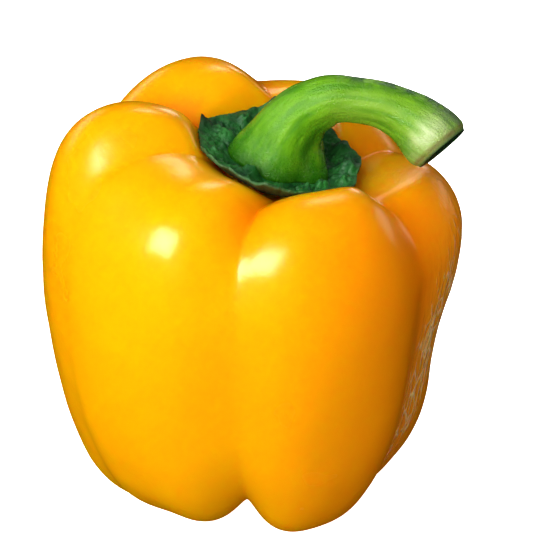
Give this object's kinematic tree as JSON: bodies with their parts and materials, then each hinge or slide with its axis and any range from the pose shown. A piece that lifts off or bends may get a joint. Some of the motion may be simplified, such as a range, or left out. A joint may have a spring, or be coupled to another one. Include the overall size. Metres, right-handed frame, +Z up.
{
  "type": "bell pepper",
  "caption": "Yellow block bell pepper with lobed body, dark green calyx and a bent, cut green stem, standing on its lobe tips.",
  "frame": {"origin": "on the surface that the pepper stands on, under the middle of its bounding box", "axes": "+Z up, from the lobe tips to the top of the stem's arch; +X towards the side that the stem bends to; -Y towards the front, where two lobes meet in a deep groove"},
  "size_m": [0.0884, 0.081, 0.0979],
  "materials": {
    "skin": "smooth waxy yellow skin, glossy over a soft translucent flesh",
    "calyx": "puckered dark bluish green tissue with a paler edge, satin",
    "stem": "streaked light green stem, satin with a waxy sheen, darker at the cut end"
  },
  "bodies": {
    "root": {"fruit": "skin", "calyx": "calyx", "stem": "stem"}
  },
  "joints": []
}
